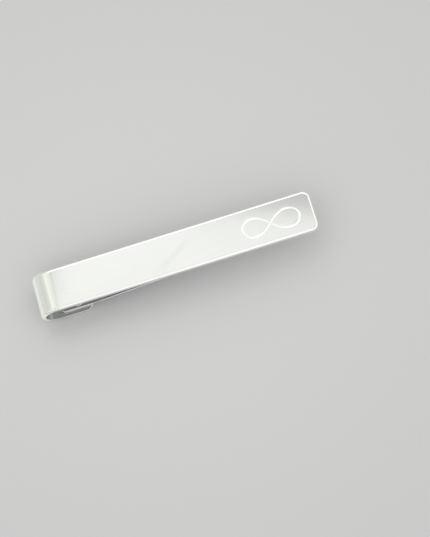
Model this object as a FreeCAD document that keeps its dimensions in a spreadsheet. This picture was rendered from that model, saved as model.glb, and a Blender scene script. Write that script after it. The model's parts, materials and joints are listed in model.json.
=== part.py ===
"""Tie slide: a folded front bar with a spring leg riveted inside the fold's return lip.

Frame: +X runs from the fold to the free end, +Y across the bar, +Z out of the front face.
The origin lies under the middle of the clip, level with the tops of the rivet domes.
"""

import FreeCAD, Part
import enum
import math
import os

import Sketcher

# Driving dimensions in millimetres, with what each one measures.
DIMENSIONS = {
    "bar_length": (54.0, "front bar, outside of the fold to the free end"),
    "bar_width": (8.0, "front bar, edge to edge"),
    "sheet_thickness": (0.8, "front bar, sheet"),
    "fold_radius": (3.25, "outside radius of the fold"),
    "lip_length": (6.5, "return lip, fold axis to its end"),
    "end_corner_radius": (1.25, "front bar, corners of the free end"),
    "lip_corner_radius": (1.6, "return lip, corners of its end"),
    "bar_edge_round": (0.55, "front bar, rounding of the outer edges"),
    "leg_thickness": (0.5, "spring leg, strip"),
    "leg_side_inset": (0.8, "spring leg, set in from each edge of the bar"),
    "leg_root_gap": (0.3, "spring leg, start of the fold to the root's end"),
    "kick_overhang": (0.5, "end of the lip to the start of the kick bend"),
    "kick_radius": (6.0, "kick bend, inside radius"),
    "crest_setback": (13.0, "free end of the bar to the crest of the leg"),
    "crest_clearance": (0.12, "crest of the leg to the back of the bar, at rest"),
    "crest_radius": (4.0, "crest of the leg, outside radius"),
    "tip_reach": (4.5, "crest to the tip of the leg, along the bar"),
    "tip_drop": (0.8, "crest to the tip of the leg, away from the bar"),
    "tip_corner_radius": (2.2, "spring leg, corners of the tip"),
    "root_corner_radius": (0.8, "spring leg, corners of the root"),
    "leg_edge_round": (0.12, "spring leg, rounding of the strip's edges"),
    "rivet_setback": (2.7, "end of the lip to the middle of the rivets"),
    "rivet_edge_margin": (1.35, "edge of the leg to the middle of each rivet"),
    "shank_diameter": (1.2, "rivet, shank"),
    "shank_clearance": (0.02, "rivet, shank to the wall of its hole"),
    "dome_diameter": (2.2, "rivet, domed head on the back of the lip"),
    "dome_height": (0.3, "rivet, domed head"),
    "button_diameter": (2.0, "rivet, flat head inside the fold"),
    "button_height": (0.25, "rivet, flat head"),
    "cut_overrun": (0.1, "how far a drill runs past the sheet"),
}

# Sizes and places that follow from the driving dimensions, as formulas of the sheet.
FOLD_BACK = "(dims.bar_length / 2 - dims.fold_radius)"
FOLD_HEIGHT = "(dims.dome_height + dims.fold_radius)"
LIP_TOP = "(dims.dome_height + dims.sheet_thickness)"
LEG_WIDTH = "(dims.bar_width - 2 * dims.leg_side_inset)"
LEG_TOP = f"({LIP_TOP} + dims.leg_thickness)"
KICK_ALONG = "(dims.lip_length + dims.kick_overhang - dims.leg_root_gap)"
CREST_ALONG = (
    "(dims.bar_length - dims.crest_setback - dims.fold_radius - dims.lip_length - dims.kick_overhang)"
)
CREST_BELOW_KICK = (
    "(2 * dims.sheet_thickness + dims.leg_thickness + dims.kick_radius"
    " + dims.crest_radius + dims.crest_clearance - 2 * dims.fold_radius)"
)
TIP_ABOVE_CREST_CENTRE = "(dims.crest_radius - dims.tip_drop)"
RIVET_BACK = f"({FOLD_BACK} - dims.lip_length + dims.rivet_setback)"
RIVET_SIDE = f"({LEG_WIDTH} / 2 - dims.rivet_edge_margin)"
HOLE_RADIUS = "(dims.shank_diameter / 2 + dims.shank_clearance)"

# A rounding takes up at most this share of the width or wall that it rounds, from both sides or from one.
BOTH_SIDES_SHARE = 0.45
ONE_SIDE_SHARE = 0.8

# The points of an edge and the axes of a sketch, numbered as a sketch numbers them.
START, END, CENTRE = enum.IntEnum("Spot", "START END CENTRE")
UPRIGHT_AXIS, LEVEL_AXIS = enum.IntEnum("Axis", "UPRIGHT LEVEL", start=-2)
ORIGIN = (LEVEL_AXIS, START)

QUARTER_TURN = math.pi / 2
SAME = 1e-6


def make_sheet(doc):
    """Write the driving dimensions into a spreadsheet, one named cell each."""
    sheet = doc.addObject("Spreadsheet::Sheet", "dims")
    for row, (alias, (value, meaning)) in enumerate(DIMENSIONS.items(), start=1):
        sheet.set(f"A{row}", alias)
        sheet.set(f"B{row}", str(value))
        sheet.set(f"C{row}", meaning)
        sheet.setAlias(f"B{row}", alias)
    doc.recompute()
    return sheet


def new_body(doc, label):
    """Add a body whose label names the piece."""
    body = doc.addObject("PartDesign::Body", label)
    body.Label = label
    return body


def origin_plane(body, role):
    """Return one of the body's own origin planes."""
    return next(plane for plane in body.Origin.OriginFeatures if plane.Role == role)


def new_sketch(body, name, role):
    """Add a sketch on one of the body's origin planes."""
    sketch = body.newObject("Sketcher::SketchObject", name)
    sketch.AttachmentSupport = [(origin_plane(body, role), "")]
    sketch.MapMode = "FlatFace"
    return sketch


def value(owner, formula):
    """Work out a formula of the sheet as a plain number."""
    return float(owner.evalExpression(formula))


def point(across, up):
    """Return a point of a sketch."""
    return FreeCAD.Vector(across, up, 0)


def add_line(sketch, start, end):
    """Draw a straight edge and return its number."""
    return sketch.addGeometry(Part.LineSegment(start, end))


def add_arc(sketch, centre, radius, first_angle, last_angle):
    """Draw an arc, counter-clockwise, and return its number."""
    circle = Part.Circle(centre, FreeCAD.Vector(0, 0, 1), radius)
    return sketch.addGeometry(Part.ArcOfCircle(circle, first_angle, last_angle))


def relate(sketch, kind, *where):
    """Tie edges or points of a sketch to each other."""
    sketch.addConstraint(Sketcher.Constraint(kind, *where))


def size(sketch, name, formula, kind, *where):
    """Dimension a sketch and bind the dimension to a formula of the sheet."""
    constraint = Sketcher.Constraint(kind, *where, value(sketch, formula))
    number = sketch.addConstraint(constraint)
    sketch.renameConstraint(number, name)
    sketch.setExpression(f"Constraints.{name}", formula)


def limited(alias, room, share=BOTH_SIDES_SHARE):
    """Return the formula of a rounding that its width or wall limits."""
    return f"min(dims.{alias}; {room} * {share})"


def pad_across(body, sketch, name, width):
    """Give a side outline its width, half to each side of the middle plane."""
    pad = body.newObject("PartDesign::Pad", name)
    pad.Profile = sketch
    pad.SideType = "Symmetric"
    pad.setExpression("Length", width)
    body.Document.recompute()
    return pad


def round_edges(body, name, base, edges, radius):
    """Round the numbered edges of a feature."""
    fillet = body.newObject("PartDesign::Fillet", name)
    fillet.Base = (base, [f"Edge{number}" for number in edges])
    fillet.setExpression("Radius", radius)
    body.Document.recompute()
    return fillet


def edges_through_strip(shape, thickness):
    """Return the numbers of the straight edges through a strip's thickness, from the lowest X up."""
    found = []
    for number, edge in enumerate(shape.Edges, start=1):
        ends = [vertex.Point for vertex in edge.Vertexes]
        straight = edge.Curve.TypeId == "Part::GeomLine"
        if straight and abs(edge.Length - thickness) < SAME and abs(ends[0].y - ends[1].y) < SAME:
            found.append((edge.CenterOfMass.x, number))
    return [number for _, number in sorted(found)]


def rim_of_skin(shape, in_skin):
    """Return the numbers of the edges around a skin, the faces that in_skin picks."""
    rim = []
    for number, edge in enumerate(shape.Edges, start=1):
        beside = shape.ancestorsOfType(edge, Part.Face)
        if sum(1 for face in beside if in_skin(face)) == 1:
            rim.append(number)
    return rim


def is_broad(face, width):
    """Say whether a face of a bent strip is one of its broad ones, which span the width."""
    return abs(face.BoundBox.YLength - width) < SAME


def drill_rivet_holes(body, depth):
    """Drill the two rivet holes upwards from below the lip."""
    sketch = new_sketch(body, f"{body.Label}_hole_places", "XY_Plane")
    centre = point(-value(sketch, RIVET_BACK), value(sketch, RIVET_SIDE))
    radius = value(sketch, HOLE_RADIUS)
    up = FreeCAD.Vector(0, 0, 1)
    hole = sketch.addGeometry(Part.Circle(centre, up, radius))
    twin = sketch.addGeometry(Part.Circle(point(centre.x, -centre.y), up, radius))
    relate(sketch, "Equal", hole, twin)
    relate(sketch, "Symmetric", hole, CENTRE, twin, CENTRE, LEVEL_AXIS)
    size(sketch, "radius", HOLE_RADIUS, "Radius", hole)
    size(sketch, "back", RIVET_BACK, "DistanceX", hole, CENTRE, *ORIGIN)
    size(sketch, "side", RIVET_SIDE, "DistanceY", *ORIGIN, hole, CENTRE)
    whole = body.Shape.Volume
    pocket = body.newObject("PartDesign::Pocket", f"{body.Label}_holes")
    pocket.Profile = sketch
    pocket.Reversed = True
    pocket.setExpression("Length", f"{depth} + dims.cut_overrun")
    body.Document.recompute()
    if not pocket.Shape.Volume < whole:
        raise RuntimeError(f"the rivet holes miss {body.Label}")


def draw_front_bar(body):
    """Draw the front bar from the side: flat front, half-round fold, return lip."""
    sketch = new_sketch(body, "front_bar_outline", "XZ_Plane")
    outer_radius = value(sketch, "dims.fold_radius")
    inner_radius = value(sketch, "dims.fold_radius - dims.sheet_thickness")
    free_x = value(sketch, "dims.bar_length / 2")
    fold = point(-value(sketch, FOLD_BACK), value(sketch, FOLD_HEIGHT))
    lip_x = fold.x + value(sketch, "dims.lip_length")
    skins = []
    for radius in (outer_radius, inner_radius):
        top, bottom = fold.y + radius, fold.y - radius
        front = add_line(sketch, point(free_x, top), point(fold.x, top))
        bend = add_arc(sketch, fold, radius, QUARTER_TURN, 3 * QUARTER_TURN)
        lip = add_line(sketch, point(fold.x, bottom), point(lip_x, bottom))
        relate(sketch, "Tangent", front, END, bend, START)
        relate(sketch, "Tangent", bend, END, lip, START)
        relate(sketch, "Horizontal", front)
        relate(sketch, "Horizontal", lip)
        skins.append((front, bend, lip))
    (front, bend, lip), (front_inside, bend_inside, lip_inside) = skins
    free_end = add_line(sketch, point(free_x, fold.y + outer_radius), point(free_x, fold.y + inner_radius))
    lip_end = add_line(sketch, point(lip_x, fold.y - outer_radius), point(lip_x, fold.y - inner_radius))
    relate(sketch, "Coincident", free_end, START, front, START)
    relate(sketch, "Coincident", free_end, END, front_inside, START)
    relate(sketch, "Coincident", lip_end, START, lip, END)
    relate(sketch, "Coincident", lip_end, END, lip_inside, END)
    relate(sketch, "Vertical", free_end)
    relate(sketch, "Vertical", lip_end)
    relate(sketch, "Coincident", bend, CENTRE, bend_inside, CENTRE)
    size(sketch, "radius", "dims.fold_radius", "Radius", bend)
    size(sketch, "sheet", "dims.sheet_thickness", "DistanceY", free_end, END, free_end, START)
    size(sketch, "fold_back", FOLD_BACK, "DistanceX", bend, CENTRE, *ORIGIN)
    size(sketch, "fold_height", FOLD_HEIGHT, "DistanceY", *ORIGIN, bend, CENTRE)
    size(sketch, "free_end", "dims.bar_length / 2", "DistanceX", *ORIGIN, free_end, START)
    size(sketch, "lip", "dims.lip_length", "DistanceX", bend, CENTRE, lip_end, START)
    return sketch


def make_front_bar(doc):
    """Make the front bar: bent strip, rounded corners and outer edges, rivet holes in the lip."""
    body = new_body(doc, "front_bar")
    strip = pad_across(body, draw_front_bar(body), "front_bar_strip", "dims.bar_width")
    thickness = value(body, "dims.sheet_thickness")
    lip_corners = edges_through_strip(strip.Shape, thickness)[:2]
    lip_radius = limited("lip_corner_radius", "dims.bar_width")
    lip_done = round_edges(body, "lip_corners", strip, lip_corners, lip_radius)
    end_corners = edges_through_strip(lip_done.Shape, thickness)[-2:]
    end_radius = limited("end_corner_radius", "dims.bar_width")
    corners_done = round_edges(body, "end_corners", lip_done, end_corners, end_radius)
    width = value(body, "dims.bar_width")
    fold = FreeCAD.Vector(-value(body, FOLD_BACK), 0, value(body, FOLD_HEIGHT))
    outer_radius = value(body, "dims.fold_radius")

    def on_outside(face):
        """Say whether a face is one of the three on the outside of the bent sheet."""
        centre = face.CenterOfMass
        level = abs(abs(centre.z - fold.z) - outer_radius) < SAME
        rounded = face.Surface.TypeId == "Part::GeomCylinder"
        folded = rounded and abs(face.Surface.Radius - outer_radius) < SAME
        return is_broad(face, width) and (level or folded)

    rim = rim_of_skin(corners_done.Shape, on_outside)
    edge_radius = limited("bar_edge_round", "dims.sheet_thickness", ONE_SIDE_SHARE)
    round_edges(body, "outer_edges", corners_done, rim, edge_radius)
    drill_rivet_holes(body, LIP_TOP)
    return body


def draw_spring_leg(body):
    """Draw the leg from the side: root, kick bend, ramp, crest and flared tip, one strip throughout."""
    sketch = new_sketch(body, "spring_leg_outline", "XZ_Plane")
    strip = value(sketch, "dims.leg_thickness")
    kick_radius = value(sketch, "dims.kick_radius")
    crest_radius = value(sketch, "dims.crest_radius")
    root = point(-value(sketch, f"{FOLD_BACK} - dims.leg_root_gap"), value(sketch, LIP_TOP))
    kick = point(root.x + value(sketch, KICK_ALONG), root.y + strip + kick_radius)
    crest = kick + point(value(sketch, CREST_ALONG), -value(sketch, CREST_BELOW_KICK))
    tip = crest + point(value(sketch, "dims.tip_reach"), value(sketch, TIP_ABOVE_CREST_CENTRE))

    # The ramp touches the kick bend from below and the crest from above.
    between = crest - kick
    ramp = math.asin((kick_radius + crest_radius) / between.Length) + math.atan2(between.y, between.x)
    ramp_normal = point(-math.sin(ramp), math.cos(ramp))
    # The flare leaves the crest along the tangent that runs through the tip.
    to_tip = tip - crest
    touch = math.atan2(to_tip.y, to_tip.x) + math.acos(crest_radius / to_tip.Length)
    flare_normal = point(math.cos(touch), math.sin(touch))

    skins = []
    for depth in (0, strip):
        level = root.y + strip - depth
        kick_foot = kick - ramp_normal * (kick_radius + depth)
        crest_foot = crest + ramp_normal * (crest_radius - depth)
        flare_foot = crest + flare_normal * (crest_radius - depth)
        root_edge = add_line(sketch, point(root.x, level), point(kick.x, level))
        kick_arc = add_arc(sketch, kick, kick_radius + depth, 3 * QUARTER_TURN, 3 * QUARTER_TURN + ramp)
        ramp_edge = add_line(sketch, kick_foot, crest_foot)
        crest_arc = add_arc(sketch, crest, crest_radius - depth, touch, QUARTER_TURN + ramp)
        flare_edge = add_line(sketch, flare_foot, tip - flare_normal * depth)
        relate(sketch, "Tangent", root_edge, END, kick_arc, START)
        relate(sketch, "Tangent", kick_arc, END, ramp_edge, START)
        relate(sketch, "Tangent", ramp_edge, END, crest_arc, END)
        relate(sketch, "Tangent", crest_arc, START, flare_edge, START)
        relate(sketch, "Horizontal", root_edge)
        skins.append((root_edge, kick_arc, ramp_edge, crest_arc, flare_edge))
    upper, lower = skins
    root_end = add_line(sketch, root, root + point(0, strip))
    tip_end = add_line(sketch, tip, tip - flare_normal * strip)
    relate(sketch, "Coincident", root_end, START, lower[0], START)
    relate(sketch, "Coincident", root_end, END, upper[0], START)
    relate(sketch, "Coincident", tip_end, START, upper[4], END)
    relate(sketch, "Coincident", tip_end, END, lower[4], END)
    relate(sketch, "Vertical", root_end)
    relate(sketch, "Perpendicular", tip_end, upper[4])
    relate(sketch, "Coincident", upper[1], CENTRE, lower[1], CENTRE)
    relate(sketch, "Coincident", upper[3], CENTRE, lower[3], CENTRE)
    relate(sketch, "Parallel", upper[2], lower[2])
    relate(sketch, "Parallel", upper[4], lower[4])
    kick_arc, crest_arc = upper[1], upper[3]
    size(sketch, "root_back", f"{FOLD_BACK} - dims.leg_root_gap", "DistanceX", root_end, START, *ORIGIN)
    size(sketch, "root_height", LIP_TOP, "DistanceY", *ORIGIN, root_end, START)
    size(sketch, "strip", "dims.leg_thickness", "DistanceY", root_end, START, root_end, END)
    size(sketch, "kick_along", KICK_ALONG, "DistanceX", root_end, START, kick_arc, CENTRE)
    size(sketch, "kick_radius", "dims.kick_radius", "Radius", kick_arc)
    size(sketch, "crest_along", CREST_ALONG, "DistanceX", kick_arc, CENTRE, crest_arc, CENTRE)
    size(sketch, "crest_below", CREST_BELOW_KICK, "DistanceY", crest_arc, CENTRE, kick_arc, CENTRE)
    size(sketch, "crest_radius", "dims.crest_radius", "Radius", crest_arc)
    size(sketch, "tip_reach", "dims.tip_reach", "DistanceX", crest_arc, CENTRE, tip_end, START)
    size(sketch, "tip_rise", TIP_ABOVE_CREST_CENTRE, "DistanceY", crest_arc, CENTRE, tip_end, START)
    return sketch


def make_spring_leg(doc):
    """Make the spring leg: bent strip, rounded corners and edges, rivet holes in the root."""
    body = new_body(doc, "spring_leg")
    strip = pad_across(body, draw_spring_leg(body), "spring_leg_strip", LEG_WIDTH)
    thickness = value(body, "dims.leg_thickness")
    root_corners = edges_through_strip(strip.Shape, thickness)[:2]
    root_radius = limited("root_corner_radius", LEG_WIDTH)
    root_done = round_edges(body, "root_corners", strip, root_corners, root_radius)
    tip_corners = edges_through_strip(root_done.Shape, thickness)[-2:]
    tip_radius = limited("tip_corner_radius", LEG_WIDTH)
    corners_done = round_edges(body, "tip_corners", root_done, tip_corners, tip_radius)
    width = value(body, LEG_WIDTH)
    rim = rim_of_skin(corners_done.Shape, lambda face: is_broad(face, width))
    round_edges(body, "leg_edges", corners_done, rim, limited("leg_edge_round", "dims.leg_thickness"))
    drill_rivet_holes(body, LEG_TOP)
    return body


def draw_rivet(body):
    """Draw half a rivet, from its axis outwards: dome, shank, flat head."""
    sketch = new_sketch(body, "rivet_outline", "XZ_Plane")
    sketch.setExpression("AttachmentOffset.Base.x", f"-{RIVET_BACK}")
    sketch.setExpression("AttachmentOffset.Base.z", RIVET_SIDE)
    dome_rim = value(sketch, "dims.dome_diameter / 2")
    dome_height = value(sketch, "dims.dome_height")
    shank = value(sketch, "dims.shank_diameter / 2")
    button = value(sketch, "dims.button_diameter / 2")
    seat = value(sketch, LEG_TOP)
    top = value(sketch, f"{LEG_TOP} + dims.button_height")
    dome_radius = (dome_rim ** 2 + dome_height ** 2) / (2 * dome_height)
    dome_end = 3 * QUARTER_TURN + math.asin(dome_rim / dome_radius)
    dome = add_arc(sketch, point(0, dome_radius), dome_radius, 3 * QUARTER_TURN, dome_end)
    corners = [
        point(dome_rim, dome_height),
        point(shank, dome_height),
        point(shank, seat),
        point(button, seat),
        point(button, top),
        point(0, top),
        point(0, 0),
    ]
    edges = [add_line(sketch, start, end) for start, end in zip(corners, corners[1:])]
    for before, after in zip([dome, *edges], [*edges, dome]):
        relate(sketch, "Coincident", before, END, after, START)
    for number, edge in enumerate(edges):
        relate(sketch, "Vertical" if number % 2 else "Horizontal", edge)
    relate(sketch, "Coincident", dome, START, *ORIGIN)
    relate(sketch, "PointOnObject", dome, CENTRE, UPRIGHT_AXIS)
    size(sketch, "dome_rim", "dims.dome_diameter / 2", "DistanceX", *ORIGIN, dome, END)
    size(sketch, "dome_height", "dims.dome_height", "DistanceY", *ORIGIN, dome, END)
    size(sketch, "shank", "dims.shank_diameter / 2", "DistanceX", *ORIGIN, edges[1], START)
    size(sketch, "seat", LEG_TOP, "DistanceY", *ORIGIN, edges[2], START)
    size(sketch, "button", "dims.button_diameter / 2", "DistanceX", *ORIGIN, edges[3], START)
    size(sketch, "button_height", "dims.button_height", "DistanceY", edges[3], START, edges[3], END)
    return sketch


def make_leg_rivets(doc):
    """Make the two rivets that clamp the leg to the lip, side by side across the bar."""
    body = new_body(doc, "leg_rivets")
    sketch = draw_rivet(body)
    rivet = body.newObject("PartDesign::Revolution", "rivet")
    rivet.Profile = sketch
    rivet.ReferenceAxis = (sketch, ["V_Axis"])
    doc.recompute()
    pair = body.newObject("PartDesign::Mirrored", "rivet_pair")
    pair.Originals = [rivet]
    pair.MirrorPlane = (origin_plane(body, "XZ_Plane"), [""])
    body.Tip = pair
    doc.recompute()
    return body


def check(doc, bodies):
    """Stop if an object failed, a sketch is loose or a piece has no sound solid."""
    for thing in doc.Objects:
        if {"Invalid", "Error"} & set(thing.State):
            raise RuntimeError(f"{thing.Label} failed: {thing.State}")
        if thing.TypeId == "Sketcher::SketchObject" and not thing.FullyConstrained:
            raise RuntimeError(f"{thing.Label} is not fully dimensioned")
    for body in bodies:
        if body.Shape.isNull() or not body.Shape.isValid() or not body.Shape.Solids:
            raise RuntimeError(f"{body.Label} has no sound solid")


def main():
    """Build the clip's pieces and write each one to its own file."""
    doc = FreeCAD.newDocument("tie_slide")
    make_sheet(doc)
    bodies = [make_front_bar(doc), make_spring_leg(doc), make_leg_rivets(doc)]
    doc.recompute()
    check(doc, bodies)
    os.makedirs("parts", exist_ok=True)
    for body in bodies:
        body.Shape.exportStep(f"parts/{body.Label}.step")
        print(f"{body.Label}: {len(body.Shape.Solids)} solid(s), {body.Shape.Volume:.2f} mm3")


main()
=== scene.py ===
"""Tie slide: a folded satin bar with an engraved loop, its riveted spring leg, and a plain studio.

Sizes in the classes are in millimetres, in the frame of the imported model: +X runs from the fold to
the free end, +Y across the bar and +Z out of the front face. Meshes are written in metres. A station
is a distance along a bent strip, from its first end.
"""

import json
import logging
import math
from abc import ABC, abstractmethod
from collections.abc import Iterable, Sequence
from dataclasses import dataclass, field
from enum import Enum, IntEnum
from typing import Any, NamedTuple, Union

import bpy
import numpy as np
from mathutils import Matrix, Quaternion, Vector
from mathutils.geometry import delaunay_2d_cdt


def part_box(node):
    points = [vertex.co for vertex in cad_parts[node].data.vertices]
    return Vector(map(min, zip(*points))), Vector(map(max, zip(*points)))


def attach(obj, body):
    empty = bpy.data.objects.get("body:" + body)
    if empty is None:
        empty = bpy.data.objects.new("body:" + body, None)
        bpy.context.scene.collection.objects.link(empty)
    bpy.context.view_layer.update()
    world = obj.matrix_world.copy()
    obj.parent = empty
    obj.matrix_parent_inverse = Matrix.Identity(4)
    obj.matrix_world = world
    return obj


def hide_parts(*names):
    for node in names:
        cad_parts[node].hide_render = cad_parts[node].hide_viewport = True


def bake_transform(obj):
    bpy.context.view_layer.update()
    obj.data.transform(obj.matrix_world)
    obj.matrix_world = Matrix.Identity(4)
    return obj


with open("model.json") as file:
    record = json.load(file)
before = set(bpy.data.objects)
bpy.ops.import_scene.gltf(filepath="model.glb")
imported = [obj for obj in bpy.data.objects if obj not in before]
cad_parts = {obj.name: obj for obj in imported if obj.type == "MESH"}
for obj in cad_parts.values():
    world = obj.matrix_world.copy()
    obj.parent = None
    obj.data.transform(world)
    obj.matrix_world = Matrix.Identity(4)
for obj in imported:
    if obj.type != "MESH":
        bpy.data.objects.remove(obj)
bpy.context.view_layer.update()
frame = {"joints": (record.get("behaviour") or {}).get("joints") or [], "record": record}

LOG = logging.getLogger("tie_slide")
STRIP_ATTRIBUTE = "strip"
# Per point: polish with a painted sheen where above 0, painted shade where below 0.
POLISH_AND_PAINTED_LIGHT_ATTRIBUTE = "polish"
MM = 0.001
QUARTER_TURN = math.pi / 2
HALF_TURN = math.pi
FULL_TURN = 2 * math.pi
UP = Vector((0.0, 0.0, 1.0))
BOTH_SIDES = (-1.0, 1.0)
SAME_PLACE = 1e-7
NOISE_MIDDLE = 0.5
ONLY_INSIDE_EDGES = 1  # which triangles delaunay_2d_cdt returns

Array = np.ndarray
Piece = bpy.types.Object
Pair = tuple[float, float]
Triple = tuple[float, float, float]
Line = tuple[Pair, Pair]
Colour = Triple
Values = dict[Any, Any]
Number = Union["Field", float]


class Facing(Enum):
    """Which of a bent sheet's two broad skins something is on."""

    OUTSIDE = 1
    INSIDE = -1


class MixSocket(IntEnum):
    """Numbers of a Mix node's sockets for colours."""

    FACTOR = 0
    RESULT = 2
    FIRST = 6
    SECOND = 7


class Field:
    """A socket's value, so that shader maths reads as a Python expression."""

    def __init__(self, graph: "Graph", socket: bpy.types.NodeSocket) -> None:
        """Hold the socket and the graph that it belongs to."""
        self.graph = graph
        self.socket = socket

    def __add__(self, other: Number) -> "Field":
        """Add a value."""
        return self.graph.maths("ADD", self, other)

    def __sub__(self, other: Number) -> "Field":
        """Take a value away."""
        return self.graph.maths("SUBTRACT", self, other)

    def __rsub__(self, other: Number) -> "Field":
        """Take away from a value."""
        return self.graph.maths("SUBTRACT", other, self)

    def __mul__(self, other: Number) -> "Field":
        """Multiply by a value."""
        return self.graph.maths("MULTIPLY", self, other)

    def __neg__(self) -> "Field":
        """Turn the sign round."""
        return self.graph.maths("MULTIPLY", self, -1.0)

    def __abs__(self) -> "Field":
        """Drop the sign."""
        return self.graph.maths("ABSOLUTE", self)

    __radd__ = __add__
    __rmul__ = __mul__


class Graph:
    """A node tree that takes each node by its type, its settings and its inputs."""

    def __init__(self, tree: bpy.types.NodeTree) -> None:
        """Start from an empty tree."""
        tree.nodes.clear()
        self.tree = tree

    def node(self, kind: str, settings: Values, inputs: Values) -> bpy.types.Node:
        """Add a node.

        Args:
            kind: The node's type.
            settings: The node's properties, and the stops of a ramp, which are set first.
            inputs: Values, colours or links for its sockets, by name or number.

        Returns:
            The node.
        """
        made = self.tree.nodes.new(kind)
        for name, value in settings.items():
            if name == "stops":
                self._set_stops(made.color_ramp, value)
            else:
                setattr(made, name, value)
        for key, value in inputs.items():
            socket = made.inputs[key]
            if isinstance(value, Field):
                self.tree.links.new(value.socket, socket)
            else:
                socket.default_value = (*value, 1.0) if socket.type == "RGBA" else value
        return made

    def field(self, kind: str, settings: Values, inputs: Values, output: int | str = 0) -> Field:
        """Add a node and return one of its outputs, by name or number."""
        return Field(self, self.node(kind, settings, inputs).outputs[output])

    def maths(self, operation: str, *values: Number) -> Field:
        """Add a Math node on values and return its result."""
        return self.field("ShaderNodeMath", {"operation": operation}, dict(enumerate(values)))

    def vector_maths(self, operation: str, first: Any, second: Any, output: str = "Vector") -> Field:
        """Add a Vector Math node on two vectors and return one of its outputs."""
        settings = {"operation": operation}
        return self.field("ShaderNodeVectorMath", settings, {0: first, 1: second}, output)

    def attribute(self, name: str, output: str) -> Field:
        """Return what a mesh's points hold under a name."""
        return self.field("ShaderNodeAttribute", {"attribute_name": name}, {}, output)

    def mix(self, factor: Number, first: Any, second: Any) -> Field:
        """Mix two colours.

        Args:
            factor: Share of the second colour.
            first: Colour or link at 0.
            second: Colour or link at 1.

        Returns:
            The mixed colour.
        """
        inputs = {MixSocket.FACTOR: factor, MixSocket.FIRST: first, MixSocket.SECOND: second}
        settings = {"data_type": "RGBA", "clamp_factor": True}
        return self.field("ShaderNodeMix", settings, inputs, MixSocket.RESULT)

    def noise(self, place: Field, cells: Triple, detail: float) -> Field:
        """Return a noise from 0 to 1, with its cells per millimetre each way and its finer layers."""
        spread = self.vector_maths("MULTIPLY", place, cells)
        return self.field("ShaderNodeTexNoise", {}, {"Vector": spread, "Scale": 1.0, "Detail": detail})

    def step(self, value: Field, low: float, high: float) -> Field:
        """Return a smooth step from 0 at low to 1 at high."""
        inputs = {"Value": value, "From Min": low, "From Max": high}
        return self.field("ShaderNodeMapRange", {"interpolation_type": "SMOOTHSTEP"}, inputs)

    def bump(self, height: Field, strength: float, distance: float) -> Field:
        """Return a normal that follows a height, which spans a distance in millimetres."""
        inputs = {"Strength": strength, "Distance": distance * MM, "Height": height}
        return self.field("ShaderNodeBump", {}, inputs)

    def _set_stops(self, ramp: bpy.types.ColorRamp, stops: Sequence[tuple[float, Colour]]) -> None:
        """Set a ramp's stops.

        Args:
            ramp: The ramp.
            stops: Place and colour of each stop, in order.
        """
        ramp.interpolation = "EASE"
        while len(ramp.elements) < len(stops):
            ramp.elements.new(1.0)
        for element, (place, colour) in zip(ramp.elements, stops):
            element.position = place
            element.color = (*colour, 1.0)


def slot_colour(slot: str) -> Colour:
    """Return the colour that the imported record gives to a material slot."""
    materials = {entry["slot"]: entry for entry in frame["record"]["materials"]}
    return tuple(materials[slot]["base_color"])


def tinted(colour: Colour, share: float) -> Colour:
    """Return a colour times a share."""
    return tuple(channel * share for channel in colour)


@dataclass(frozen=True)
class Finish(ABC):
    """How a surface looks."""

    name: str
    colour: Colour

    @abstractmethod
    def inputs(self, graph: Graph) -> Values:
        """Return the values or links for the shader's sockets."""

    def dress(self, piece: Piece) -> None:
        """Give a piece the finish.

        Args:
            piece: The piece.
        """
        made = bpy.data.materials.new(self.name)
        made.use_nodes = True
        graph = Graph(made.node_tree)
        shader = graph.field("ShaderNodeBsdfPrincipled", {}, self.inputs(graph))
        graph.node("ShaderNodeOutputMaterial", {}, {"Surface": shader})
        piece.data.materials.append(made)


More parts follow.
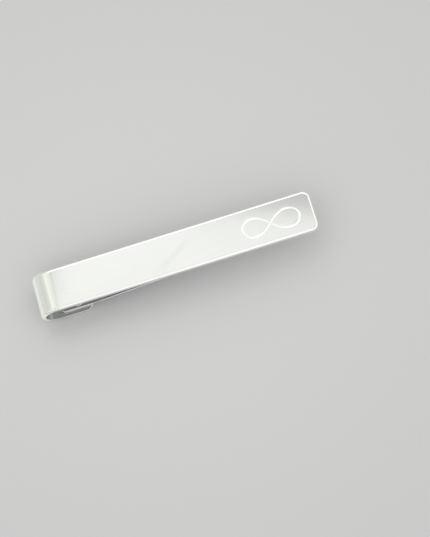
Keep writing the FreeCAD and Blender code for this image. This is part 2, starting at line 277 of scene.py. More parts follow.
@dataclass(frozen=True)
class StripFinish(Finish):
    """A strip metal with lengthwise grain, soft clouds, and a polish on its edges and cuts that is
    lighter as a painted sheen; edges marked below 0 get painted shade, and a darker line on the skin is
    a painted reflection.

    Grain and clouds are given as cells per millimetre along, across and through the strip.
    """

    polished_sheen: Colour  # of polished edges and cuts, lighter than the skin as a painted sheen
    roughness: float
    polished_roughness: float
    grain: Triple
    grain_tone: float  # share by which it lightens and darkens the colour
    grain_roughness: float  # how much it changes the roughness
    grain_height: float
    grain_detail: float = 4.0  # number of finer layers
    grain_share: float = 0.65  # of the tone; the clouds have the rest
    bump_strength: float = 0.5
    clouds: Triple = (0.11, 0.16, 0.2)
    cloud_detail: float = 2.0
    cloud_roughness: float = 0.06
    painted_reflection_line: Line | None = None  # ends of a faint painted reflection line on the skin, a darker streak
    painted_reflection_reach: float = 1.05  # half the width of the painted reflection line
    painted_reflection_tone: float = 0.03  # share by which the painted reflection darkens the colour
    painted_reflection_fade_share: float = 0.3  # of its length, where each end fades
    painted_shade_tone: float = 0.78  # brightness of edges under painted shade as a share of the skin's
    painted_shade_roughness: float = 0.06
    back_depth: float | None = None  # where the back skin begins, if it looks different
    back_blend_share: float = 0.05  # of that depth, up and down, where the skins blend
    back_tone: float = 0.12  # share by which the back skin is darker
    back_roughness: float = 0.16

    def inputs(self, graph: Graph) -> Values:
        """Lay out the metal.

        Args:
            graph: The material's graph.

        Returns:
            The values or links for the shader's sockets.
        """
        strip = graph.attribute(STRIP_ATTRIBUTE, "Vector")
        signed_polish_and_light = graph.attribute(POLISH_AND_PAINTED_LIGHT_ATTRIBUTE, "Fac")
        # The polish lightens the colour as a painted sheen and lowers the roughness.
        polish = graph.maths("MAXIMUM", signed_polish_and_light, 0.0)
        # Below 0 the edges get painted shade: a darker colour and a rougher surface.
        painted_shade = graph.step(-signed_polish_and_light, 0.0, 1.0)
        grain = graph.noise(strip, self.grain, self.grain_detail)
        clouds = graph.noise(strip, self.clouds, self.cloud_detail)
        tone = self.grain_share * grain + (1.0 - self.grain_share) * clouds
        pale, deep = (tinted(self.colour, 1.0 + sense * self.grain_tone) for sense in (1.0, -1.0))
        plain = graph.mix(tone, pale, deep)
        rough = self.roughness + self.grain_roughness * (grain - NOISE_MIDDLE)
        rough = rough + self.cloud_roughness * (clouds - NOISE_MIDDLE)
        # Painted reflection: a faint darker streak across the skin.
        if self.painted_reflection_line:
            plain = graph.mix(self._painted_reflection(graph, strip), plain, tinted(self.colour, 1.0 - self.painted_reflection_tone))
        if self.back_depth is not None:
            depth = graph.field("ShaderNodeSeparateXYZ", {}, {0: strip}, "Z")
            blend = self.back_blend_share * self.back_depth
            back = graph.step(depth, self.back_depth - blend, self.back_depth + blend)
            plain = graph.mix(back, plain, tinted(self.colour, 1.0 - self.back_tone))
            rough = rough + self.back_roughness * back
        plain = graph.mix(painted_shade, plain, tinted(self.colour, self.painted_shade_tone))
        rough = rough + self.painted_shade_roughness * painted_shade
        return {
            "Base Color": graph.mix(polish, plain, self.polished_sheen),
            "Metallic": 1.0,
            "Roughness": rough * (1.0 - polish) + self.polished_roughness * polish,
            "Normal": graph.bump(grain, self.bump_strength, self.grain_height),
        }

    def _painted_reflection(self, graph: Graph, strip: Field) -> Field:
        """Draw the painted reflection line, a darker streak laid into the colour.

        Args:
            graph: The material's graph.
            strip: Where on the strip, in millimetres.

        Returns:
            The line's mask, 1 on it.
        """
        first, last = (Vector((*end, 0.0)) for end in self.painted_reflection_line)
        run = (last - first).length
        heading = (last - first).normalized()
        offset = graph.vector_maths("SUBTRACT", strip, first)
        along = graph.vector_maths("DOT_PRODUCT", offset, heading, "Value")
        across = graph.vector_maths("DOT_PRODUCT", offset, UP.cross(heading), "Value")
        near = 1.0 - graph.step(abs(across), 0.0, self.painted_reflection_reach)
        fade = self.painted_reflection_fade_share * run
        return near * (graph.step(along, 0.0, fade) * (1.0 - graph.step(along, run - fade, run)))


@dataclass(frozen=True)
class RivetFinish(Finish):
    """Burnished rivet metal with fine rings round the rivet's axis."""

    roughness: float = 0.24
    rings: Triple = (11.0, 0.3, 1.0)  # cells per millimetre out, round and through
    ring_detail: float = 2.0
    ring_tones: Pair = (1.06, 0.9)  # brightness at the least and the most of the rings
    ring_roughness: float = 0.12
    ring_height: float = 0.01
    bump_strength: float = 0.4

    def inputs(self, graph: Graph) -> Values:
        """Lay out the metal.

        Args:
            graph: The material's graph.

        Returns:
            The values or links for the shader's sockets.
        """
        strip = graph.attribute(STRIP_ATTRIBUTE, "Vector")
        rings = graph.noise(strip, self.rings, self.ring_detail)
        return {
            "Base Color": graph.mix(rings, *(tinted(self.colour, tone) for tone in self.ring_tones)),
            "Metallic": 1.0,
            "Roughness": self.roughness + self.ring_roughness * (rings - NOISE_MIDDLE),
            "Normal": graph.bump(rings, self.bump_strength, self.ring_height),
        }


@dataclass(frozen=True)
class PaperFinish(Finish):
    """Plain matte paper for the floor."""

    roughness: float = 0.9
    specular: float = 0.1

    def inputs(self, graph: Graph) -> Values:
        """Return the values for the shader's sockets."""
        shine = {"Roughness": self.roughness, "Specular IOR Level": self.specular}
        return {"Base Color": self.colour, **shine}


class Pose(NamedTuple):
    """A place on a bent line, along and up, and the direction there in radians, from along to up."""

    along: float
    up: float
    heading: float


@dataclass(frozen=True)
class Run:
    """A stretch of a bent line, straight or turning evenly to the left."""

    length: float
    turn: float = 0.0  # in radians

    @classmethod
    def bend(cls, radius: float, turn: float) -> "Run":
        """Return a bend of a radius through an angle."""
        return cls(radius * abs(turn), turn)


class BentLine:
    """A chain of runs in an upright plane, each tangent to the next."""

    ease_parts = 15  # samples in an averaged direction
    ease_rows = 4  # rows of points beside an eased bend

    def __init__(self, start: Pose, runs: Iterable[Run]) -> None:
        """Lay out the runs.

        Args:
            start: First point and direction.
            runs: The runs in order.
        """
        self.legs: list[tuple[float, Pose, Run]] = []
        self.length = 0.0
        for run in runs:
            self.legs.append((self.length, start, run))
            start = self._advance(start, run, run.length)
            self.length += run.length

    @staticmethod
    def _advance(start: Pose, run: Run, way: float) -> Pose:
        """Go some way along a run.

        Args:
            start: Where the run starts.
            run: The run.
            way: How far to go.

        Returns:
            The pose there.
        """
        along, up, heading = start
        if not run.turn:
            return Pose(along + way * math.cos(heading), up + way * math.sin(heading), heading)
        radius = run.length / run.turn
        there = heading + way / radius
        along += radius * (math.sin(there) - math.sin(heading))
        up -= radius * (math.cos(there) - math.cos(heading))
        return Pose(along, up, there)

    def _leg(self, station: float) -> tuple[float, Pose, Run]:
        """Return the station and the pose where the run at a station starts, and the run."""
        return next((leg for leg in reversed(self.legs) if leg[0] <= station), self.legs[0])

    def _around(self, station: float, ease: float) -> list[float]:
        """List stations over a length to both sides of a station."""
        around = np.linspace(station - ease, station + ease, self.ease_parts)
        return np.clip(around, 0.0, self.length).tolist()

    def pose(self, station: float) -> Pose:
        """Return the pose at a station."""
        first, start, run = self._leg(station)
        return self._advance(start, run, station - first)

    def eased_heading(self, station: float, ease: float) -> float:
        """Return the direction at a station, averaged over a length to both sides of it."""
        return float(np.mean([self.pose(there).heading for there in self._around(station, ease)]))

    def bend_share(self, station: float, ease: float) -> float:
        """Return the share of bends in a length to both sides of a station."""
        runs = [self._leg(there)[-1] for there in self._around(station, ease)]
        return float(np.mean([run.turn != 0.0 for run in runs]))

    def stations(self, step: float, ease: float = 0.0) -> list[float]:
        """List the stations where bends need a row of points.

        Args:
            step: Largest angle between two rows, in radians.
            ease: Length beside each bend that gets rows too.

        Returns:
            The stations in order, with each run's ends.
        """
        found = {0.0}
        for first, _, run in self.legs:
            parts = max(1, math.ceil(abs(run.turn) / step))
            found.update(first + run.length * part / parts for part in range(1, parts + 1))
            if ease and not run.turn:
                offsets = np.linspace(0.0, ease, self.ease_rows + 1)[1:].tolist()
                found.update(first + offset for offset in offsets)
                found.update(first + run.length - offset for offset in offsets)
        return sorted(found)


@dataclass(frozen=True)
class Blank:
    """The flat blank of a strip before it is bent: a rectangle with rounded corners."""

    length: float
    width: float
    first_radius: float  # of the corners at the first end
    last_radius: float  # of the corners at the last end
    corner_parts: int = 10

    def rim(self, stations: Sequence[float]) -> tuple[Array, Array]:
        """Walk round the rim, against the clock.

        Args:
            stations: Stations that get a point on both sides.

        Returns:
            The points and the directions out of the blank there, along and across.
        """
        half = self.width / 2
        first, last = self.first_radius, self.last_radius
        last_along = self.length - last
        inner = [station for station in stations if first < station < last_along]
        corners = (
            (first, first - half, first, HALF_TURN, inner),
            (last_along, last - half, last, HALF_TURN + QUARTER_TURN, []),
            (last_along, half - last, last, 0.0, inner[::-1]),
            (first, half - first, first, QUARTER_TURN, []),
        )
        points, outward = [], []
        for along, across, radius, first_angle, side in corners:
            for part in range(self.corner_parts + 1):
                angle = first_angle + QUARTER_TURN * part / self.corner_parts
                outward.append((math.cos(angle), math.sin(angle)))
                points.append((along + radius * math.cos(angle), across + radius * math.sin(angle)))
            sense = math.copysign(1.0, across)
            outward.extend((0.0, sense) for _ in side)
            points.extend((station, sense * half) for station in side)
        return np.array(points), np.array(outward)


@dataclass(frozen=True)
class Hole:
    """A round hole through a strip, with its middle along and across."""

    middle: Pair
    radius: float
    parts: int = 24

    def rim(self) -> Array:
        """Return points round the hole, against the clock."""
        angles = FULL_TURN * np.arange(self.parts) / self.parts
        return self.radius * np.column_stack([np.cos(angles), np.sin(angles)]) + self.middle

    def holds(self, place: Sequence[float]) -> bool:
        """Say whether a point lies in the hole."""
        return math.dist(place, self.middle) < self.radius


@dataclass(frozen=True)
class LoopEngraving:
    """An endless loop cut into the face as a soft-sided groove."""

    crossing: Pair  # its station and its place across the strip
    length: float = 10.85
    height: float = 3.6  # of the lobes
    skew: float = -0.25  # of the crossing off the middle of the loop
    line_width: Pair = (0.34, 0.57)  # of strokes that fall and rise towards the free end
    depth: float = 0.065  # where the groove is widest
    polish: Pair = (0.2, 0.9)  # of strokes that fall and rise: polish with a painted highlight, stronger on rising strokes
    polish_and_sheen_fade: Pair = (0.75, 1.2)  # shares of the half width where the polish and painted highlight begin to fade and are gone
    row_shares: tuple[float, ...] = (0.0, 0.22, 0.42, 0.6, 0.8, 1.0, 1.2)  # of it, for rows of points
    row_slack: float = 0.04  # how far a point's share may be off where strokes meet
    steps: int = 380
    fine_parts: int = 40  # of each step, which even the steps out

    def centreline(self) -> Array:
        """Draw the loop as a lemniscate with a skewed middle.

        Returns:
            Its middle line in even steps, along and across.
        """
        fine = np.linspace(0.0, FULL_TURN, self.fine_parts * self.steps + 1)
        share = np.cos(fine) / (1.0 + np.sin(fine) ** 2)
        along = self.length / 2 * share + self.skew * (1.0 - share ** 2)
        # The root makes the lobes as high as asked.
        across = self.height * math.sqrt(2.0) * np.sin(fine) * share
        gone = np.concatenate([[0.0], np.cumsum(np.hypot(np.diff(along), np.diff(across)))])
        even = np.linspace(0.0, gone[-1], self.steps + 1)[:-1]
        return np.column_stack([np.interp(even, gone, way) for way in (along, across)]) + self.crossing

    def cut_points(self) -> tuple[Array, Array, Array, Array]:
        """Lay points over the groove, whose section is one wave of a cosine.

        Returns:
            The points along and across, their depths, their slopes and how far each is polished and lit
            by a painted highlight.
        """
        line = self.centreline()
        heading = np.roll(line, -1, 0) - np.roll(line, 1, 0)
        heading /= np.linalg.norm(heading, axis=1)[:, None]
        beside = np.column_stack([-heading[:, 1], heading[:, 0]])
        # From 0 on a stroke that falls at half a right angle to 1 on one that rises so.
        rise = 0.5 + heading[:, 0] * heading[:, 1]
        half = np.interp(rise, (0.0, 1.0), self.line_width) / 2
        rows = []
        for share in self.row_shares:
            for sense in (1.0, -1.0) if share else (1.0,):
                row = line + sense * share * half[:, None] * beside
                reach, _, _ = self._nearest(row, line, half)
                rows.append(row[np.abs(reach - share) < self.row_slack])
        points = np.concatenate(rows)
        reach, towards, place = self._nearest(points, line, half)
        steep = self.depth / max(self.line_width)
        wave = HALF_TURN * np.clip(reach, 0.0, 1.0)
        depth = steep * half[place] * (1.0 + np.cos(wave))
        slope = -steep * HALF_TURN * np.sin(wave)
        # Rising strokes get more painted highlight than falling ones; it fades towards the groove's
        # rims.
        fade = np.interp(reach, self.polish_and_sheen_fade, (1.0, 0.0))
        polish = np.interp(rise[place], (0.0, 1.0), self.polish) * fade
        return points, depth, slope[:, None] * towards, polish

    @staticmethod
    def _nearest(points: Array, line: Array, half: Array) -> tuple[Array, Array, Array]:
        """Find the nearest place on the loop.

        Args:
            points: Points along and across.
            line: The loop's middle line.
            half: Half the width of the groove along it.

        Returns:
            Each point's distance as a share of the half width, the direction to it from the loop,
            and the number of the nearest step.
        """
        edge = np.roll(line, -1, 0) - line
        offset = points[:, None, :] - line[None, :, :]
        share = np.clip((offset * edge).sum(2) / (edge * edge).sum(1), 0.0, 1.0)
        offset -= share[:, :, None] * edge[None, :, :]
        gap = np.linalg.norm(offset, axis=2)
        reach = gap / half
        best = reach.argmin(1)
        rows = np.arange(len(points))
        towards = offset[rows, best] / np.maximum(gap[rows, best], SAME_PLACE)[:, None]
        return reach[rows, best], towards, best


def linked(name: str, data: bpy.types.ID) -> Piece:
    """Show some data in the scene.

    Args:
        name: The object's name.
        data: Its mesh, lamp or camera.

    Returns:
        The object.
    """
    made = bpy.data.objects.new(name, data)
    bpy.context.scene.collection.objects.link(made)
    return made


@dataclass
class Shell:
    """The points and faces of a piece while it is made."""

    places: list[Vector] = field(default_factory=list)
    normals: list[Vector] = field(default_factory=list)
    strip: list[Triple] = field(default_factory=list)  # places on the piece's own surface
    polish: list[float] = field(default_factory=list)  # polish with a painted sheen; below 0, painted shade instead
    faces: list[tuple[int, ...]] = field(default_factory=list)

    def add(self, place: Vector, normal: Vector, strip: Triple, polish: float = 0.0) -> int:
        """Add a point.

        Args:
            place: Its place in millimetres.
            normal: Its normal, of any length.
            strip: Where it lies on the piece's own surface.
            polish: How far it is polished, with a painted sheen; below 0, how far painted shade is laid
                on.

        Returns:
            The point's number.
        """
        self.places.append(place * MM)
        self.normals.append(normal.normalized())
        self.strip.append(strip)
        self.polish.append(polish)
        return len(self.places) - 1

    def bridge(self, upper: Sequence[int], lower: Sequence[int]) -> None:
        """Close the band between two rings that run against the clock, seen from the upper one."""
        for here in range(len(upper)):
            self.faces.append((upper[here - 1], lower[here - 1], lower[here], upper[here]))

    def piece(self, name: str) -> Piece:
        """Make a smooth piece with exact normals.

        Args:
            name: The piece's name.

        Returns:
            The piece, linked to the scene.
        """
        mesh = bpy.data.meshes.new(name)
        mesh.from_pydata(self.places, [], self.faces)
        mesh.shade_smooth()
        mesh.normals_split_custom_set_from_vertices(self.normals)
        strip = mesh.attributes.new(STRIP_ATTRIBUTE, "FLOAT_VECTOR", "POINT")
        strip.data.foreach_set("vector", np.array(self.strip, np.float32).ravel())
        polish = mesh.attributes.new(POLISH_AND_PAINTED_LIGHT_ATTRIBUTE, "FLOAT", "POINT")
        polish.data.foreach_set("value", np.array(self.polish, np.float32))
        return linked(name, mesh)


class Level(NamedTuple):
    """A ring of points round a sheet's edge, with the lean of its normal off the outside skin's."""

    inset: float
    depth: float
    lean: float
    polish: float


@dataclass
class BentSheet:
    """A strip bent along a line, with rounded edges, holes and an engraving."""

    line: BentLine  # of the outside skin
    blank: Blank
    thickness: float
    outside_round: float  # of the edges on the outside
    inside_round: float
    corner_wear: float = 0.0  # share by which the rounding is wider at the middle of a corner
    holes: Sequence[Hole] = ()
    engraving: LoopEngraving | None = None
    polish_and_sheen_lean: Pair = (math.radians(3.0), math.radians(20.0))  # leans where the polish and its painted sheen begin and are full
    # Polish and painted sheen on the inside edges.
    inside_polish_and_sheen: float = 0.7
    bend_sheen_and_shade: float = 1.0  # share of the polish and painted sheen left on the edges of a bend; below 0 they get painted shade
    bend_onset: float = 0.35  # share of a bend nearby where that is reached
    bend_ease: float = 0.0  # length over which the shading eases into a bend
    skin_margin: float = 0.2  # inset of a ring of points beside the edges
    row_step: float = math.radians(4.0)  # between two rows of points in a bend
    round_parts: int = 9
    shell: Shell = field(default_factory=Shell, init=False)

    def make(self, name: str) -> Piece:
        """Build the sheet.

        Args:
            name: The piece's name.

        Returns:
            The piece, in place.
        """
        rim, outward = self.blank.rim(self.line.stations(self.row_step, self.bend_ease))
        rings = [self._ring(rim, outward, level) for level in self._levels()]
        for upper, lower in zip(rings, rings[1:]):
            self.shell.bridge(upper, lower)
        fronts, backs = ([self._hole_rim(hole, facing) for hole in self.holes] for facing in Facing)
        for front, back in zip(fronts, backs):
            self.shell.bridge(back, front)
        self._skin([rings[0], *fronts], self._cut(), Facing.OUTSIDE)
        self._skin([rings[-1], *backs], [], Facing.INSIDE)
        return self.shell.piece(name)

    def _levels(self) -> list[Level]:
        """List the rings.

        Returns:
            The rings from the outside skin over the edge to the inside skin.
        """
        outer, inner = self.outside_round, self.inside_round
        leans = np.linspace(0.0, QUARTER_TURN, self.round_parts + 1).tolist()
        levels = [Level(outer + self.skin_margin, 0.0, 0.0, 0.0)]
        for lean in leans:
            inset = outer * (1.0 - math.sin(lean))
            depth = outer * (1.0 - math.cos(lean))
            polish = float(np.interp(lean, self.polish_and_sheen_lean, (0.0, 1.0)))
            levels.append(Level(inset, depth, lean, polish))
        for lean in leans:
            inset = inner * (1.0 - math.cos(lean))
            depth = self.thickness - inner * (1.0 - math.sin(lean))
            levels.append(Level(inset, depth, QUARTER_TURN + lean, self.inside_polish_and_sheen))
        levels.append(Level(inner + self.skin_margin, self.thickness, HALF_TURN, 0.0))
        return levels

    def _add(self, flat: Sequence[float], normal: Sequence[float], polish: float = 0.0) -> int:
        """Add a point of the sheet and bend it along the line.

        Args:
            flat: Its station, its place across the strip and its depth below the outside skin.
            normal: Its normal along, across and out of the flat skin.
            polish: How far it is polished, with a painted sheen; below 0, how far painted shade is laid
                on.

        Returns:
            The point's number.
        """
        station, across, depth = (float(part) for part in flat)
        along, up, heading = self.line.pose(station)
        eased = self.line.eased_heading(station, self.bend_ease)
        bend, shade = (Matrix.Rotation(-angle, 3, "Y") for angle in (heading, eased))
        place = Vector((along, across, up)) - depth * (bend @ UP)
        return self.shell.add(place, shade @ Vector(normal), (station, across, depth), float(polish))

    def _ring(self, rim: Array, outward: Array, level: Level) -> list[int]:
        """Add a ring of points round the blank.

        Args:
            rim: The blank's rim.
            outward: Directions out of the blank.
            level: Where the ring lies on the edge.

        Returns:
            The numbers of its points.
        """
        side, out = math.sin(level.lean), math.cos(level.lean)
        # From 0 on straight edges to 1 at the middle of a corner.
        cornering = np.abs(2.0 * outward[:, 0] * outward[:, 1])
        insets = level.inset * (1.0 + self.corner_wear * cornering)
        bends = [self.line.bend_share(station, self.bend_ease) for station in rim[:, 0]]
        # In bends the edges lose their painted sheen, and below 0 they get painted shade.
        polish = level.polish * np.interp(bends, (0.0, self.bend_onset), (1.0, self.bend_sheen_and_shade))
        return [
            self._add((*(place - inset * way), level.depth), (*(side * way), out), shine)
            for place, way, inset, shine in zip(rim, outward, insets, polish)
        ]

    def _hole_rim(self, hole: Hole, facing: Facing) -> list[int]:
        """Add the rim of a hole on one of the skins and return the numbers of its points."""
        depth = 0.0 if facing is Facing.OUTSIDE else self.thickness
        return [self._add((*place, depth), (0.0, 0.0, facing.value)) for place in hole.rim()]

    def _cut(self) -> list[int]:
        """Add the engraving's points.

        Returns:
            The numbers of its points, none where nothing is engraved.
        """
        if self.engraving is None:
            return []
        return [
            self._add((*place, depth), (*slope, 1.0), polish)
            for place, depth, slope, polish in zip(*self.engraving.cut_points())
        ]

    def _skin(self, loops: Sequence[list[int]], inner: list[int], facing: Facing) -> None:
        """Close a broad skin with faces, in rows across its bends.

        Args:
            loops: Points round the skin, then points round each hole.
            inner: Other points on the skin.
            facing: Which skin it is.
        """
        numbers = [*(number for loop in loops for number in loop), *inner]
        flat = [Vector(self.shell.strip[number][:2]) for number in numbers]
        spot = {number: index for index, number in enumerate(numbers)}
        edges = []
        for loop in loops:
            edges.extend((spot[here], spot[there]) for here, there in zip(loop, loop[1:] + loop[:1]))
        opposite = {}
        for number in loops[0]:
            station = self.shell.strip[number][0]
            if station in opposite:
                edges.append((spot[opposite[station]], spot[number]))
            opposite[station] = number
        _, _, triangles, sources, _, _ = delaunay_2d_cdt(flat, edges, [], ONLY_INSIDE_EDGES, SAME_PLACE)
        for triangle in triangles:
            corners = [numbers[sources[corner][0]] for corner in triangle]
            middle = np.mean([self.shell.strip[corner][:2] for corner in corners], axis=0)
            if not any(hole.holds(middle) for hole in self.holes):
                self.shell.faces.append(tuple(corners[:: facing.value]))


@dataclass
class FrontBar:
    """The folded bar: return lip, half-round fold and flat engraved face."""

    thickness: float = 0.8
    lip_length: float = 6.5  # axis of the fold to the lip's end
    lip_corner: float = 1.6
    end_corner: float = 1.25
    outside_round: float = 0.55
    inside_round: float = 0.07
    corner_wear: float = 0.35
    # The fold's edges get painted shade.
    bend_sheen_and_shade: float = -0.2
    bend_ease: float = 1.2
    rivet_setback: float = 2.7  # lip's end to the rivets
    rivet_side: float = 1.85  # middle of the bar to each rivet
    hole_radius: float = 0.62
    loop_setback: float = 8.27  # free end to the loop's crossing
    loop_across: float = -0.08
    painted_reflection_line: Line = ((4.4, 2.1), (-5.2, -3.6))  # ends of the painted reflection line, from the middle of the bar
    back_share: float = 0.7  # of the thickness, where the finish of the back begins

    def __post_init__(self) -> None:
        """Take the bar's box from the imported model."""
        low, high = (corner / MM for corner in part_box("front_bar"))
        self.width = high.y - low.y
        self.bottom = low.z
        self.top = high.z
        self.free_end = high.x
        self.fold_radius = (high.z - low.z) / 2
        self.fold_along = low.x + self.fold_radius
        self.lip_end = self.fold_along + self.lip_length
        self.rivet_along = self.lip_end - self.rivet_setback

    def line(self) -> BentLine:
        """Draw the bar from the side.

        Returns:
            The line of the outside skin, from the end of the lip to the free end.
        """
        runs = (
            Run(self.lip_length),
            Run.bend(self.fold_radius, -HALF_TURN),
            Run(self.free_end - self.fold_along),
        )
        return BentLine(Pose(self.lip_end, self.bottom, HALF_TURN), runs)

    def rivet_holes(self, station: float) -> list[Hole]:
        """Return the pair of rivet holes at a station of a strip."""
        return [Hole((station, side * self.rivet_side), self.hole_radius) for side in BOTH_SIDES]

    def build(self) -> Piece:
        """Build the bar.

        Returns:
            The bar, in place and dressed.
        """
        line = self.line()
        sheet = BentSheet(
            line=line,
            blank=Blank(line.length, self.width, self.lip_corner, self.end_corner),
            thickness=self.thickness,
            outside_round=self.outside_round,
            inside_round=self.inside_round,
            corner_wear=self.corner_wear,
            holes=self.rivet_holes(self.rivet_setback),
            engraving=LoopEngraving((line.length - self.loop_setback, self.loop_across)),
            bend_sheen_and_shade=self.bend_sheen_and_shade,
            bend_ease=self.bend_ease,
        )
        bar = sheet.make("satin_front_bar")
        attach(bar, "front")
        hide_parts("front_bar")
        self.finish().dress(bar)
        return bar

    def finish(self) -> StripFinish:
        """Mix the bar's finish.

        Returns:
            The satin finish, with its rub line.
        """
        middle = self.line().length - self.free_end
        return StripFinish(
            name="satin_metal",
            colour=slot_colour("satin_bar"),
            # Lighter colour of the polished edges and cuts: a painted sheen.
            polished_sheen=(0.97, 0.975, 0.96),
            roughness=0.16,
            polished_roughness=0.14,
            grain=(0.3, 8.0, 1.0),
            grain_tone=0.09,
            grain_roughness=0.1,
            grain_height=0.004,
            painted_reflection_line=tuple((middle + along, across) for along, across in self.painted_reflection_line),
            back_depth=self.back_share * self.thickness,
        )


@dataclass
class SpringLeg:
    """The spring leaf: clamped root, kick bend, ramp, crest and flared tip."""

    bar: FrontBar
    thickness: float = 0.5
    root_corner: float = 0.8
    tip_corner: float = 2.2
    edge_round: float = 0.12
    edge_sheen_tone: float = 1.2  # brightness of the polished edges, a painted sheen, as a share of the skin's
    lip_gap: float = 0.3  # axis of the fold to the root's end
    kick_radius: float = 6.0  # on the bar's side, like the crest's
    crest_radius: float = 4.0
    crest_clearance: float = 0.12  # crest to the back of the bar
    tip_reach: float = 4.5  # crest to tip, along the bar
    tip_drop: float = 0.8  # crest to tip, away from the bar
    flex_length: float = 8.0  # which bends when the leg opens
    row_step: float = math.radians(2.0)
    round_parts: int = 4

    def __post_init__(self) -> None:
        """Take the leg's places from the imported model."""
        low, high = (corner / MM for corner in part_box("spring_leg"))
        mount = next(entry for entry in frame["record"]["mounts"] if entry["name"] == "tie_gap")
        back = self.bar.top - self.bar.thickness
        crest_height = back - self.crest_clearance - self.crest_radius
        self.width = high.y - low.y
        self.kick = Vector(frame["joints"][0]["pos_m"]) / MM
        self.crest = Vector((mount["pos_m"][0] / MM, 0.0, crest_height))
        self.root_along = self.bar.fold_along + self.lip_gap
        self.seat = self.kick.z - self.kick_radius

    def line(self) -> BentLine:
        """Draw the leg from the side.

        Returns:
            The line of the skin towards the bar, from the root to the tip.
        """
        reach = self.crest - self.kick
        lift = math.atan2(reach.z, reach.x)
        span = math.hypot(reach.x, reach.z)
        ramp = math.asin((self.kick_radius + self.crest_radius) / span) + lift
        ramp_length = math.sqrt(span ** 2 - (self.kick_radius + self.crest_radius) ** 2)
        tip_rise = self.crest_radius - self.tip_drop
        tip_span = math.hypot(self.tip_reach, tip_rise)
        touch = math.atan2(tip_rise, self.tip_reach) + math.acos(self.crest_radius / tip_span)
        flare = QUARTER_TURN - touch
        runs = (
            Run(self.kick.x - self.root_along),
            Run.bend(self.kick_radius, ramp),
            Run(ramp_length),
            Run.bend(self.crest_radius, -(ramp + flare)),
            Run(math.sqrt(tip_span ** 2 - self.crest_radius ** 2)),
        )
        return BentLine(Pose(self.root_along, self.seat, 0.0), runs)

    def build(self) -> Piece:
        """Build the leg.

        Returns:
            The leg, in place and dressed.
        """
        line = self.line()
        sheet = BentSheet(
            line=line,
            blank=Blank(line.length, self.width, self.root_corner, self.tip_corner),
            thickness=self.thickness,
            outside_round=self.edge_round,
            inside_round=self.edge_round,
            holes=self.bar.rivet_holes(self.bar.rivet_along - self.root_along),
            row_step=self.row_step,
            round_parts=self.round_parts,
        )
        leg = sheet.make("spring_leaf")
        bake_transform(leg)
        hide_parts("spring_leg")
        self.finish().dress(leg)
        return leg

    def finish(self) -> StripFinish:
        """Mix the leg's finish.

        Returns:
            The finish of rolled spring strip.
        """
        colour = slot_colour("spring_strip")
        return StripFinish(
            name="rolled_spring_strip",
            colour=colour,
            polished_sheen=tinted(colour, self.edge_sheen_tone),
            roughness=0.33,
            polished_roughness=0.22,
            grain=(0.2, 8.0, 1.0),
            grain_tone=0.14,
            grain_roughness=0.18,
            grain_height=0.006,
        )


@dataclass
class LegRivets:
    """The two rivets that clamp the leg's root to the lip."""

    leg: SpringLeg
    dome_radius: float = 1.1  # of the head on the back of the lip
    dome_height: float = 0.3
    shank_radius: float = 0.6
    button_radius: float = 1.0  # of the flat head inside the fold
    button_height: float = 0.25
    rim_round: float = 0.035
    button_round: float = 0.09  # of the flat head's upper rim
    corner_round: float = 0.02  # where the shank meets the heads
    row_step: float = math.radians(9.0)
    parts: int = 48

    def profile(self) -> BentLine:
        """Draw half a rivet.

        Returns:
            Its outline, from the top of its dome round to its axis again.
        """
        rim, corner = self.rim_round, self.corner_round
        half_angle = math.atan2(self.dome_height - 2 * rim, self.dome_radius - rim)
        dome = (self.dome_radius - rim) / math.sin(2 * half_angle) + rim
        runs = (
            Run.bend(dome, 2 * half_angle),
            Run.bend(rim, HALF_TURN - 2 * half_angle),
            Run(self.dome_radius - rim - self.shank_radius - corner),
            Run.bend(corner, -QUARTER_TURN),
            Run(self.leg.seat - self.dome_height - 2 * corner),
            Run.bend(corner, -QUARTER_TURN),
            Run(self.button_radius - self.shank_radius - corner - rim),
            Run.bend(rim, QUARTER_TURN),
            Run(self.button_height - rim - self.button_round),
            Run.bend(self.button_round, QUARTER_TURN),
            Run(self.button_radius - self.button_round),
        )
        return BentLine(Pose(0.0, 0.0, 0.0), runs)

    def build(self) -> Piece:
        """Build the pair of rivets.

        Returns:
            The pair, in place and dressed.
        """
        shell = Shell()
        for hole in self.leg.bar.rivet_holes(self.leg.bar.rivet_along):
            self._turn(shell, Vector((*hole.middle, 0.0)))
        rivets = shell.piece("rivet_pair")
        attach(rivets, "front")
        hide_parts("leg_rivets")
        RivetFinish("burnished_rivets", slot_colour("rivets")).dress(rivets)
        return rivets

    def _turn(self, shell: Shell, foot: Vector) -> None:
        """Turn a rivet on its axis.

        Args:
            shell: The points and faces that it joins.
            foot: The foot of its axis.
        """
        profile = self.profile()
        rings = []
        for station in profile.stations(self.row_step)[1:-1]:
            radius, height, heading = profile.pose(station)
            ring = []
            for part in range(self.parts):
                angle = FULL_TURN * part / self.parts
                out = Vector((math.cos(angle), math.sin(angle), 0.0))
                place = foot + radius * out + height * UP
                normal = math.sin(heading) * out - math.cos(heading) * UP
                ring.append(shell.add(place, normal, (station, radius * angle, 0.0)))
            rings.append(ring)
        for lower, upper in zip(rings, rings[1:]):
            shell.bridge(upper, lower)
        shell.faces.append(tuple(reversed(rings[0])))
        shell.faces.append(tuple(rings[-1]))


@dataclass(frozen=True)
class LightPanel:
    """A soft rectangular lamp."""

    name: str
    place: Triple
    aim: Triple
    size: Pair
    radiance: float  # 1 shows as white
    colour: Colour = (1.0, 1.0, 1.0)
    turn: float = 0.0  # about its own axis, in degrees

    def build(self) -> None:
        """Hang the lamp."""
        lamp = bpy.data.lights.new(self.name, "AREA")
        lamp.shape = "RECTANGLE"
        lamp.size, lamp.size_y = (side * MM for side in self.size)
        lamp.energy = self.radiance * math.pi * lamp.size * lamp.size_y
        lamp.color = self.colour
        holder = linked(self.name, lamp)
        holder.location = Vector(self.place) * MM
        way = Vector(self.aim) - Vector(self.place)
        holder.rotation_mode = "QUATERNION"
        spin = Quaternion(UP, math.radians(self.turn))
        holder.rotation_quaternion = way.to_track_quat("-Z", "Y") @ spin
        holder.visible_camera = False


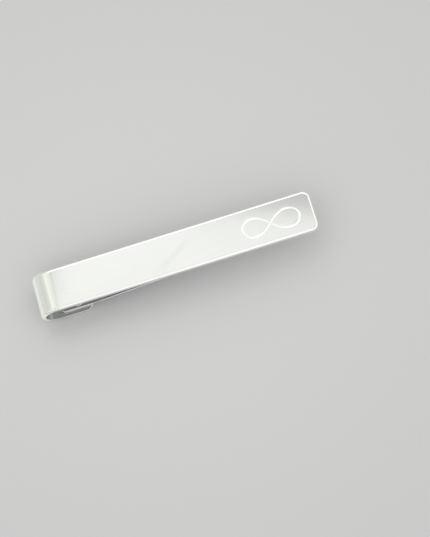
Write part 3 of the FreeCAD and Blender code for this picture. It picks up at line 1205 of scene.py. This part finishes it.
@dataclass
class Studio:
    """The camera, the floor, the lamps and the pale surroundings, with angles in degrees."""

    tilt: float = 17.0  # camera off the upright, towards the near edge of the bar
    lean: float = 2.0  # camera towards the free end
    roll: float = 17.27  # of the bar in the picture
    distance: float = 300.0  # camera to the middle of the face
    view_height: float = 98.59  # at that distance
    sensor: float = 36.0
    clip: Pair = (10.0, 50000.0)
    image: tuple[int, int] = (430, 537)
    middle_pixel: Pair = (173.28, 252.21)  # where the middle of the face shows
    floor_reach: float = 30000.0
    floor_colour: Colour = (0.62, 0.62, 0.62)
    panels: Sequence[LightPanel] = (
        LightPanel("key_panel", (-32.0, 390.0, 520.0), (0.0, 0.0, 0.0), (300.0, 276.0), radiance=0.75),
        LightPanel(
            "face_panel", (-0.9, 0.1, 66.8), (-0.9, 0.1, 0.0), (71.8, 55.0),
            radiance=0.475, colour=(0.995, 1.0, 0.955), turn=-19.0,
        ),
        LightPanel(
            "fold_panel", (-48.1, 18.4, 66.8), (-48.1, 18.4, 0.0), (27.8, 40.0),
            radiance=0.23, colour=(1.0, 1.0, 0.87),
        ),
        LightPanel(
            "fold_card", (-68.0, 14.0, 0.4), (-68.0, 14.0, 100.0), (84.0, 70.0),
            radiance=0.3, colour=(1.0, 1.0, 0.93),
        ),
    )
    # Height of a direction, and the grey or colour of the surroundings there.
    open_sky: Sequence[Pair] = (
        (0.0, 0.58), (0.12, 0.8), (0.26, 0.94), (0.5, 1.04),
        (0.7, 1.1), (0.85, 1.1), (0.93, 0.6), (0.97, 0.5),
    )
    fold_sky: Sequence[tuple[float, Colour]] = (
        (0.0, (0.58, 0.58, 0.58)), (0.04, (0.92, 0.94, 0.89)), (0.2, (0.8, 0.82, 0.76)),
        (0.4, (0.76, 0.78, 0.72)), (0.55, (0.75, 0.77, 0.71)), (0.7, (0.8, 0.82, 0.76)),
        (0.82, (0.87, 0.89, 0.81)), (0.89, (0.83, 0.84, 0.78)), (0.96, (0.55, 0.55, 0.55)),
    )
    # Lean of a direction to the fold and across the bar, where the fold's side begins and is full.
    fold_side_start: Pair = (0.1, 0.25)
    fold_side_edge: Pair = (-0.4, -0.1)

    def place_camera(self, middle: Vector) -> None:
        """Place the camera at the photograph's angle, and show colours as they are written.

        Args:
            middle: Middle of the bar's face.
        """
        turn = Matrix.Identity(3)
        for angle, axis in ((self.tilt, "X"), (self.lean, "Y"), (-self.roll, "Z")):
            turn = turn @ Matrix.Rotation(math.radians(angle), 3, axis)
        pixel = self.view_height / self.image[1]
        right = (self.image[0] / 2 - self.middle_pixel[0]) * pixel
        up = (self.middle_pixel[1] - self.image[1] / 2) * pixel
        eye = middle + turn @ Vector((right, up, self.distance))
        camera = bpy.data.cameras.new("photo_camera")
        camera.sensor_width = self.sensor
        camera.lens = self.sensor * self.distance / self.view_height
        camera.clip_start, camera.clip_end = (distance * MM for distance in self.clip)
        holder = linked("photo_camera", camera)
        holder.matrix_world = Matrix.Translation(eye * MM) @ turn.to_4x4()
        bpy.context.scene.camera = holder
        bpy.context.scene.view_settings.view_transform = "Standard"

    def lay_floor(self) -> None:
        """Lay the plain floor under the clip."""
        reach = self.floor_reach * MM
        corners = [(reach * x, reach * y, 0.0) for x, y in ((-1, -1), (1, -1), (1, 1), (-1, 1))]
        mesh = bpy.data.meshes.new("paper_floor")
        mesh.from_pydata(corners, [], [(0, 1, 2, 3)])
        floor = linked("paper_floor", mesh)
        PaperFinish("pale_paper", self.floor_colour).dress(floor)

    def light(self) -> None:
        """Hang the lamps and set the surroundings."""
        for panel in self.panels:
            panel.build()
        world = bpy.data.worlds.new("pale_surroundings")
        world.use_nodes = True
        bpy.context.scene.world = world
        graph = Graph(world.node_tree)
        way = graph.field("ShaderNodeTexCoord", {}, {}, "Generated")
        parts = graph.node("ShaderNodeSeparateXYZ", {}, {0: way})
        along, across, up = (Field(graph, part) for part in parts.outputs)
        greys = [(height, (grey, grey, grey)) for height, grey in self.open_sky]
        open_side = graph.field("ShaderNodeValToRGB", {"stops": greys}, {0: up})
        fold_side = graph.field("ShaderNodeValToRGB", {"stops": self.fold_sky}, {0: up})
        behind = graph.step(-along, *self.fold_side_start)
        share = behind * graph.step(across, *self.fold_side_edge)
        sky = graph.mix(share, open_side, fold_side)
        shade = graph.field("ShaderNodeBackground", {}, {"Color": sky, "Strength": 1.0})
        graph.node("ShaderNodeOutputWorld", {}, {"Surface": shade})


def main() -> None:
    """Build the clip and its studio, and report each piece."""
    logging.basicConfig(level=logging.INFO, format="%(name)s: %(message)s")
    bar = FrontBar()
    leg = SpringLeg(bar)
    rivets = LegRivets(leg)
    for sub_assembly in (bar, leg, rivets):
        piece = sub_assembly.build()
        LOG.info("%s has %d faces", piece.name, len(piece.data.polygons))
    studio = Studio()
    studio.lay_floor()
    studio.light()
    studio.place_camera(Vector((0.0, 0.0, bar.top)))


if __name__ == "__main__":
    main()
